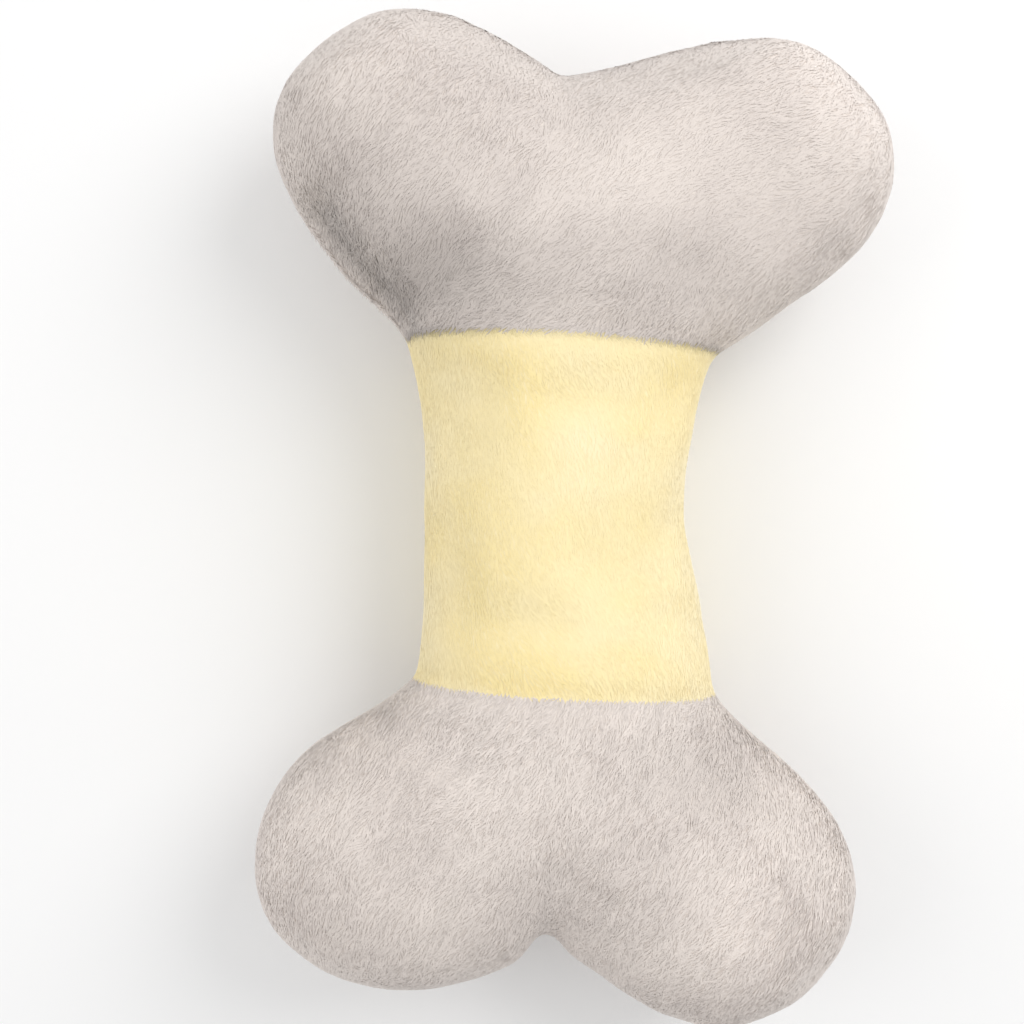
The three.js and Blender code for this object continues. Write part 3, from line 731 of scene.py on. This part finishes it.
def pileTree(name, tufts, material):
    tree = bpy.data.node_groups.new(name, "GeometryNodeTree")
    face = tree.interface
    face.new_socket("Geometry", in_out="INPUT", socket_type="NodeSocketGeometry")
    face.new_socket("Geometry", in_out="OUTPUT", socket_type="NodeSocketGeometry")
    for label in pileInputs:
        kind = "NodeSocketInt" if label == "Seed" else "NodeSocketFloat"
        face.new_socket(label, in_out="INPUT", socket_type=kind)
    given = addNode(tree, "NodeGroupInput").outputs
    inputs = {
        "Mesh": given["Geometry"],
        "Distance Min": given["Spacing"],
        "Density Max": given["Density"],
        "Seed": given["Seed"],
    }
    spread = addNode(tree, "GeometryNodeDistributePointsOnFaces", inputs, distribute_method="POISSON").outputs
    place = addNode(tree, "GeometryNodeInputPosition").outputs[0]
    rough = namedField(tree, "rough", "FLOAT")
    points = spread["Points"]
    for label, kind, value in (
        ("skinNormal", "FLOAT_VECTOR", spread["Normal"]),
        ("tone", "FLOAT", tuftTone(tree, given, place, rough)),
    ):
        inputs = {"Geometry": points, "Name": label, "Value": value}
        store = addNode(tree, "GeometryNodeStoreNamedAttribute", inputs, data_type=kind, domain="POINT")
        points = store.outputs[0]
    kinds = addNode(tree, "GeometryNodeGeometryToInstance")
    for tuft in reversed(tufts):
        shape = addNode(tree, "GeometryNodeObjectInfo", {"Object": tuft}).outputs["Geometry"]
        tree.links.new(shape, kinds.inputs[0])
    inputs = {
        "Points": points,
        "Instance": kinds.outputs[0],
        "Pick Instance": True,
        "Rotation": tuftFacing(tree, given, place, rough),
        "Scale": math2(tree, "MULTIPLY", randomly(tree, *chance["sizes"], "size"), given["Length"]),
    }
    planted = addNode(tree, "GeometryNodeInstanceOnPoints", inputs).outputs[0]
    real = addNode(tree, "GeometryNodeRealizeInstances", {0: planted}).outputs[0]
    painted = addNode(tree, "GeometryNodeSetMaterial", {"Geometry": real, "Material": material}).outputs[0]
    addNode(tree, "NodeGroupOutput", {0: painted})
    return tree


def setPile(modifier, pile):
    for item in modifier.node_group.interface.items_tree:
        if item.in_out == "INPUT" and item.name in pileInputs:
            key = pileInputs[item.name]
            modifier[item.identifier] = math.radians(pile[key]) if key in pileAngles else pile[key]


# Where the corners go on the bake's map: the backing above, the tufts in rows below
bakeMap = {
    "backingShare": 0.24,
    "fill": 0.98,  # of the backing's place
    "half": 0.49,  # for each face of a piece that has a front and a back
    "bothFaces": (0.1, 0.9),  # share of corners that look down on such a piece
    "margin": 0.12,  # round a tuft
    "waist": 0.45,  # height of a tuft's middle
    "side": 0.46,  # width of a tuft's side
    "rows": 0.99,  # of the tufts' place
}


def layBakeMap(mesh, backingPolygons, backingLoops):
    layer = mesh.uv_layers.new(name="OFBake")
    loopVerts = np.empty(len(mesh.loops), np.int32)
    mesh.loops.foreach_get("vertex_index", loopVerts)
    points = meshPoints(mesh)[loopVerts]
    uv = np.zeros((len(loopVerts), 2))
    skin = points[:backingLoops, :2]
    low, high = skin.min(0), skin.max(0)
    share, fill, half = bakeMap["backingShare"], bakeMap["fill"], bakeMap["half"]
    across = (1 - fill) / 2 + fill * (skin[:, 0] - low[0]) / (high[0] - low[0])
    turned = np.zeros(backingLoops, bool)
    for polygon in mesh.polygons[:backingPolygons]:
        start = polygon.loop_start
        turned[start : start + polygon.loop_total] = polygon.normal.z < 0
    fewest, most = bakeMap["bothFaces"]
    if fewest < turned.mean() < most:
        across = across * half + (1 - half) * turned
    uv[:backingLoops, 0] = across
    uv[:backingLoops, 1] = 1 - share + fill * share * (skin[:, 1] - low[1]) / (high[1] - low[1])
    count = (len(loopVerts) - backingLoops) // blade["loops"]
    columns = max(1, math.ceil(math.sqrt(count / (1 - share))))
    rows = math.ceil(count / columns)
    waist, margin = bakeMap["waist"], bakeMap["margin"]
    side = np.array([[1, 0], [0, waist], [1, waist], [0, waist], [1, 1], [1, waist]])
    corners = np.concatenate([side * [bakeMap["side"], 1], side * [-bakeMap["side"], 1] + [1, 0]])
    corners = margin + (1 - 2 * margin) * corners
    number = np.arange(count)
    cell = np.stack([number % columns, number // columns], axis=1)
    tiles = (cell[:, None, :] + corners[None]) / [columns, rows] * [1, bakeMap["rows"] * (1 - share)]
    uv[backingLoops:] = tiles.reshape(-1, 2)
    layer.uv.foreach_set("vector", uv.astype(np.float32).ravel())


def softenNormals(mesh, backingVerts, skinNormals, share):
    own = meshNormals(mesh)
    under = np.concatenate([skinNormals, getAttribute(mesh, "skinNormal", 3)[backingVerts:]])
    mixed = under * share + own * (1 - share)
    mixed[:backingVerts] = skinNormals
    mixed /= np.maximum(np.linalg.norm(mixed, axis=1, keepdims=True), 1e-9)
    mesh.normals_split_custom_set_from_vertices(mixed)


# The pile is pressed flat by the toy's weight where it rests
resting = {"begins": 0.8 * mm, "least": 0.05 * mm}
# and has painted shade in its seams, most towards the sides
seamShadow = {"width": 0.7 * mm, "middle": 0.4, "sideReach": 24 * mm}


def pressedFlat(heights):
    room = resting["begins"] - resting["least"]
    pressed = resting["least"] + room * np.exp(np.minimum(heights - resting["begins"], 0) / room)
    return np.where(heights < resting["begins"], pressed, heights)


def pileShade(mesh, pile):
    points = meshPoints(mesh)
    shade = np.ones(len(points))
    sideward = np.clip(np.abs(points[:, 0] - squeakerX) / seamShadow["sideReach"], 0, 1) ** 2
    sideward = seamShadow["middle"] + (1 - seamShadow["middle"]) * sideward
    # painted shade along each cross seam, where its crease would hold shade
    for seamY, depth in zip((upperSeamY, lowerSeamY), pile["seamShade"]):
        shade -= depth * sideward * bell(points[:, 1] - seamY, seamShadow["width"])
    if "ruffle" in mesh.attributes:
        # painted shade in the pucker, where the pile is parted
        shade -= pile["rufflePaintedShade"] * getAttribute(mesh, "ruffle", 1)
        # lighter and darker from the stroked nap and from painted light and shade
        shade += getAttribute(mesh, "napAndPaintedLightTone", 1)
    return shade


def growPile(panel, tree, pile, skinNormals):
    name = panel.name
    mesh = panel.data
    backingVerts, backingLoops = len(mesh.vertices), len(mesh.loops)
    backingPolygons = len(mesh.polygons)
    putAttribute(mesh, "tip", np.zeros(backingVerts), "FLOAT")
    putAttribute(mesh, "tone", np.full(backingVerts, 0.5), "FLOAT")
    putAttribute(mesh, "shade", pileShade(mesh, pile), "FLOAT")
    putAttribute(mesh, "skinNormal", skinNormals, "FLOAT_VECTOR")
    grower = panel.modifiers.new("Pile", "NODES")
    grower.node_group = tree
    setPile(grower, pile)
    tufts = evaluatedMesh(panel, True)
    panel.modifiers.clear()
    bm = bmesh.new()
    bm.from_mesh(mesh)
    bm.from_mesh(tufts)
    whole = bpy.data.meshes.new(name)
    bm.to_mesh(whole)
    bm.free()
    whole.materials.append(pile["material"])
    panel.data = whole
    bpy.data.meshes.remove(mesh)
    points = meshPoints(whole)
    points[:, 2] = pressedFlat(points[:, 2])
    setPoints(whole, points)
    shadeSmooth(whole)
    layBakeMap(whole, backingPolygons, backingLoops)
    softenNormals(whole, backingVerts, skinNormals, pile["softness"])
    bpy.data.meshes.remove(tufts)
    triangles = sum(len(p.vertices) - 2 for p in whole.polygons)
    count = (len(whole.vertices) - backingVerts) // blade["points"]
    print(f"{name}: {triangles} triangles, {count} tufts")


greyPile = {
    "spacing": 0.2 * mm,
    "density": 7.4e6,
    "length": 3.5 * mm,
    "width": 0.034,
    "rise": 0.034,
    "lift": 1.7,
    "clumpSize": 3.0 * mm,
    "clumpTurn": 110,
    "stray": 20,
    "softness": 0.88,
    "lean": 33,  # of the nap, from straight down
    "sweep": 24,  # more on the right of the upper end
    "seamSweep": 20,  # more above the upper cross seam
    "streakWidth": 1.6 * mm,
    "streakLength": 6 * mm,
    "seamShade": (0.25, 0.05),  # painted shade at the upper and the lower cross seam
    "rufflePaintedShade": 0.36,  # painted shade where the pile is parted in the pucker
    "seed": 5,
    "material": greyMaterial,
    "slot": "grey_plush",
}
yellowPile = {
    "spacing": 0.18 * mm,
    "density": 9.0e6,
    "length": 2.2 * mm,
    "width": 0.05,
    "rise": 0.025,
    "lift": 0.8,
    "clumpSize": 2.6 * mm,
    "clumpTurn": 90,
    "stray": 16,
    "softness": 0.95,
    "lean": -26,
    "sweep": 0,
    "seamSweep": 0,
    "streakWidth": 1.8 * mm,
    "streakLength": 9 * mm,
    "seamShade": (0.6, 0.06),
    "rufflePaintedShade": 0.0,
    "seed": 9,
    "material": yellowMaterial,
    "slot": "yellow_plush",
}
plushPanels = {
    "upper_front_plush": ("upper_end_front", greyPile),
    "upper_back_plush": ("upper_end_back", greyPile),
    "lower_front_plush": ("lower_end_front", greyPile),
    "lower_back_plush": ("lower_end_back", greyPile),
    "band_back_plush": ("band_back", yellowPile),
}
for label in press["slices"]:
    plushPanels[f"band_front_plush_{label}"] = ("band_front", yellowPile)

skin = makeBacking()
cutBacking(skin)
greyTufts = tuftObjects("grey_tuft", greyPile)
yellowTufts = tuftObjects("yellow_tuft", yellowPile)
trees = {
    "grey_plush": pileTree("grey_pile", greyTufts, greyMaterial),
    "yellow_plush": pileTree("yellow_pile", yellowTufts, yellowMaterial),
}
putAttribute(skin.data, "wholeNormal", meshNormals(skin.data), "FLOAT_VECTOR")
putAttribute(skin.data, "comb", evened(skin.data, meshNormals(skin.data), combing["rounds"]), "FLOAT_VECTOR")
for name, (node, pile) in plushPanels.items():
    panel = panelPart(name, skin)
    points = meshPoints(panel.data)
    up = -1 if "back" in name else 1
    nap = napField(points, getAttribute(panel.data, "comb", 3), napLean(points, pile), up)
    putAttribute(panel.data, "nap", nap, "FLOAT_VECTOR")
    growPile(panel, trees[pile["slot"]], pile, getAttribute(panel.data, "wholeNormal", 3))
    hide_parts(node)
    if node == "band_front":
        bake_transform(panel)
    else:
        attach(panel, "toy")
dropObject(skin)
for tuft in greyTufts + yellowTufts:
    dropObject(tuft)
print("plush done")


# Stuffing: wads of white fibre that fill the cover, with loose fibres standing off them
stuffing = {
    "look": {
        "tip": linear(246, 246, 244),
        "root": linear(232, 232, 230),
        "cool": linear(240, 241, 242),
        "patch": 120.0,
        "tones": (0.95, 1.03),
    },
    "voxel": 2.2 * mm,
    "rounds": 2,
    "sink": 3.6 * mm,  # clear of the cover's folds
    "puff": 1.4 * mm,
    "puffSize": 6 * mm,
    "carded": (0.3, 0.5, 0.81),  # the fibres run across this
    "slot": "stuffing_fibre",
}
fibrePile = {
    "spacing": 0.6 * mm,
    "density": 0.6e6,
    "length": 7 * mm,
    "width": 0.012,
    "rise": 0.05,
    "lift": 4,
    "clumpSize": 5 * mm,
    "clumpTurn": 340,
    "stray": 60,
    "softness": 0.6,
    "lean": 0,
    "streakWidth": 3 * mm,
    "streakLength": 3 * mm,
    "seamShade": (0, 0),
    "seed": 21,
    "material": plushMaterial("white_fibre", stuffing["look"]),
}


def makeWad(node, tree):
    piece = voxelSkin(joinedCopy(f"{node}_wad", [node]), stuffing["voxel"])
    keepLargest(piece.data)
    smoothed(piece.data, stuffing["rounds"])
    points = meshPoints(piece.data)
    puff = stuffing["puff"] * np.abs(noiseAt(points, stuffing["puffSize"], "puffs"))
    setPoints(piece.data, points + meshNormals(piece.data) * (puff - stuffing["sink"])[:, None])
    normals = meshNormals(piece.data)
    putAttribute(piece.data, "nap", np.cross(normals, stuffing["carded"]), "FLOAT_VECTOR")
    putAttribute(piece.data, "comb", normals, "FLOAT_VECTOR")
    putAttribute(piece.data, "rough", np.ones(len(points)), "FLOAT")
    growPile(piece, tree, fibrePile, normals)
    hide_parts(node)
    return piece


# What lies under the pressed place gets a mesh of its own
def flatten(piece):
    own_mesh(piece)


fibreTufts = tuftObjects("fibre", fibrePile)
fibreTree = pileTree("loose_fibre", fibreTufts, fibrePile["material"])
for node in ("upper_filling", "lower_filling", "band_back_filling"):
    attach(makeWad(node, fibreTree), "toy")
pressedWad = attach(makeWad("band_front_filling", fibreTree), "pressed_front")
flatten(pressedWad)
for tuft in fibreTufts:
    dropObject(tuft)
print("stuffing done")


# Squeaker pouch: two caps of thin nonwoven cloth, with point bonds pressed in rows and a few wrinkles
pouch = {
    "colour": linear(236, 233, 226),
    "pressed": 0.86,  # tone of the bonds
    "bonds": 900.0,
    "bondScatter": 0.15,
    "bondEdge": (0.15, 0.4),
    "bump": (0.4, 0.1 * mm),  # strength and depth
    "finish": {"Roughness": 0.85},
    "wrinkle": 0.25 * mm,
    "wrinkleSize": 5 * mm,
    "finer": 2,
}


def pouchMaterial():
    material, tree, shader = newMaterial("nonwoven_cloth")
    inputs = {"Vector": objectPlace(tree), "Scale": pouch["bonds"], "Randomness": pouch["bondScatter"]}
    bonds = addNode(tree, "ShaderNodeTexVoronoi", inputs).outputs["Distance"]
    pressed = ranged(tree, bonds, *pouch["bondEdge"])
    colour = mixColour(tree, pressed, darker(pouch["colour"], pouch["pressed"]), pouch["colour"])
    tree.links.new(colour, shader.inputs["Base Color"])
    setFinish(shader, pouch["finish"])
    bumped(tree, shader, pressed, *pouch["bump"])
    return material


def makePouchCap(node, material):
    piece = subdivide(joinedCopy(f"{node}_cloth", [node]), "SIMPLE", pouch["finer"])
    points = meshPoints(piece.data)
    wrinkles = pouch["wrinkle"] * noiseAt(points, pouch["wrinkleSize"], "wrinkles")
    setPoints(piece.data, points + np.outer(wrinkles, (0, 0, 1)))
    shadeSmooth(piece.data)
    paint(piece.data, material)
    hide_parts(node)
    return piece


clothMaterial = pouchMaterial()
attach(makePouchCap("pouch_back", clothMaterial), "toy")
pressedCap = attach(makePouchCap("pouch_front", clothMaterial), "pressed_front")
flatten(pressedCap)
print("pouch done")


# Squeaker and threads: a blown bladder, its reed, and the sewing
plastics = {
    "soft_plastic": {"colour": linear(238, 238, 232), "roughness": 0.42, "milky": 0.25},
    "reed_plastic": {"colour": linear(244, 243, 238), "roughness": 0.35, "milky": 0.0},
    "reed_film": {"colour": linear(226, 214, 176), "roughness": 0.25, "milky": 0.35},
}
clouds = {"scale": 220.0, "detail": 2.0, "dull": 0.93}
threads = {"grey_thread": linear(196, 187, 182), "yellow_thread": linear(244, 226, 166)}
twist = {"scale": 420.0, "waver": 1.5, "dark": 0.8, "bump": (0.3, 0.1 * mm), "finish": {"Roughness": 0.7}}
bladderEdge = 50  # degrees, past which an edge stays sharp


def plasticMaterial(name, look):
    material, tree, shader = newMaterial(name)
    cloudy = objectNoise(tree, clouds["scale"], clouds["detail"])
    colour = mixColour(tree, cloudy, darker(look["colour"], clouds["dull"]), look["colour"])
    tree.links.new(colour, shader.inputs["Base Color"])
    setFinish(shader, {"Roughness": look["roughness"], "Transmission Weight": look["milky"]})
    return material


def threadMaterial(name, colour):
    material, tree, shader = newMaterial(name)
    inputs = {"Vector": objectPlace(tree), "Scale": twist["scale"], "Distortion": twist["waver"]}
    strands = addNode(tree, "ShaderNodeTexWave", inputs, bands_direction="DIAGONAL").outputs["Fac"]
    twisted = mixColour(tree, strands, darker(colour, twist["dark"]), colour)
    tree.links.new(twisted, shader.inputs["Base Color"])
    setFinish(shader, twist["finish"])
    bumped(tree, shader, strands, *twist["bump"])
    return material


def makeBladder(material):
    piece = joinedCopy("squeaker_bladder_blown", ["squeaker_bladder"])
    shadeSmooth(piece.data)
    piece.data.set_sharp_from_angle(angle=math.radians(bladderEdge))
    paint(piece.data, material)
    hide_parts("squeaker_bladder")
    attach(piece, "toy")
    flatten(piece)


looks = {name: plasticMaterial(f"{name}_look", look) for name, look in plastics.items()}
looks |= {name: threadMaterial(f"{name}_look", colour) for name, colour in threads.items()}
looks["pouch_cloth"] = clothMaterial
makeBladder(looks["soft_plastic"])
for subpart in frame["record"]["subparts"]:
    node = frame["nodes"].get(subpart["node"])
    if node and subpart["material_slot"] in looks and not node.hide_render:
        paint(node.data, looks[subpart["material_slot"]])
print("squeaker and threads done")


# Stage
stage = {
    "cameraX": -9.3 * mm,
    "cameraY": 0.2 * mm,
    "distance": 250 * mm,  # from the middle plane of the toy
    "pixel": 0.177 * mm,  # at the middle plane
    "image": 1024,
    "sensor": 36,
    "clip": 0.01,
    "turn": 3.0,
    "floorSize": 6.0,
    "floorFinish": {"Base Color": (0.92, 0.92, 0.92, 1), "Roughness": 0.9},
    "whiteFrom": 0.2,  # the floor fades to plain white between these distances
    "whiteTo": 0.7,
    "worldLevel": 0.715,
    "lamps": {
        "key": {"place": (0.3, 0.26, 0.42), "size": 0.4, "power": 1.42},
        "fill": {"place": (-0.45, 0.0, 0.4), "size": 0.5, "power": 0.66},
    },
}


def floorMaterial():
    material, tree, shader = newMaterial("pale_floor")
    setFinish(shader, stage["floorFinish"])
    away = addNode(tree, "ShaderNodeVectorMath", {0: objectPlace(tree)}, operation="LENGTH").outputs["Value"]
    fade = ranged(tree, away, stage["whiteFrom"], stage["whiteTo"])
    seen = addNode(tree, "ShaderNodeLightPath").outputs["Is Camera Ray"]
    white = addNode(tree, "ShaderNodeEmission", {"Color": (1, 1, 1, 1), "Strength": 1.0}).outputs[0]
    share = math2(tree, "MULTIPLY", fade, seen)
    mixed = addNode(tree, "ShaderNodeMixShader", {0: share, 1: shader.outputs[0], 2: white}).outputs[0]
    output = next(n for n in tree.nodes if n.type == "OUTPUT_MATERIAL")
    tree.links.new(mixed, output.inputs["Surface"])
    return material


def makeFloor():
    half = stage["floorSize"] / 2
    corners = ((-half, -half), (half, -half), (half, half), (-half, half))
    bm = bmesh.new()
    bm.faces.new([bm.verts.new((x, y, 0)) for x, y in corners])
    mesh = bpy.data.meshes.new("floor")
    bm.to_mesh(mesh)
    bm.free()
    floor = newObject("floor", mesh)
    floor.data.materials.append(floorMaterial())


def makeWorld():
    world = bpy.data.worlds.new("studio")
    world.use_nodes = True
    scene.world = world
    tree = world.node_tree
    tree.nodes.clear()
    path = addNode(tree, "ShaderNodeLightPath").outputs
    seen = math2(tree, "MAXIMUM", path["Is Camera Ray"], path["Is Glossy Ray"])
    seen = math2(tree, "MAXIMUM", seen, path["Is Transmission Ray"])
    strength = ranged(tree, seen, 0.0, 1.0, stage["worldLevel"], 1.0)
    sky = addNode(tree, "ShaderNodeBackground", {"Color": (1, 1, 1, 1), "Strength": strength})
    addNode(tree, "ShaderNodeOutputWorld", {"Surface": sky.outputs[0]})


def makeLamp(name, lamp):
    light = bpy.data.lights.new(name, "AREA")
    light.shape = "DISK"
    light.size = lamp["size"]
    light.energy = lamp["power"]
    held = newObject(name, light)
    held.location = lamp["place"]
    held.rotation_euler = (Vector((0, 0, midZ)) - held.location).to_track_quat("-Z", "Y").to_euler()


def makeCamera():
    camera = bpy.data.cameras.new("camera")
    camera.sensor_width = stage["sensor"]
    camera.lens = stage["sensor"] * stage["distance"] / (stage["image"] * stage["pixel"])
    camera.clip_start = stage["clip"]
    eye = newObject("camera", camera)
    eye.location = (stage["cameraX"], stage["cameraY"], midZ + stage["distance"])
    eye.rotation_euler = (0, 0, math.radians(stage["turn"]))
    scene.camera = eye


makeFloor()
makeWorld()
for name, lamp in stage["lamps"].items():
    makeLamp(name, lamp)
makeCamera()
print("stage done")
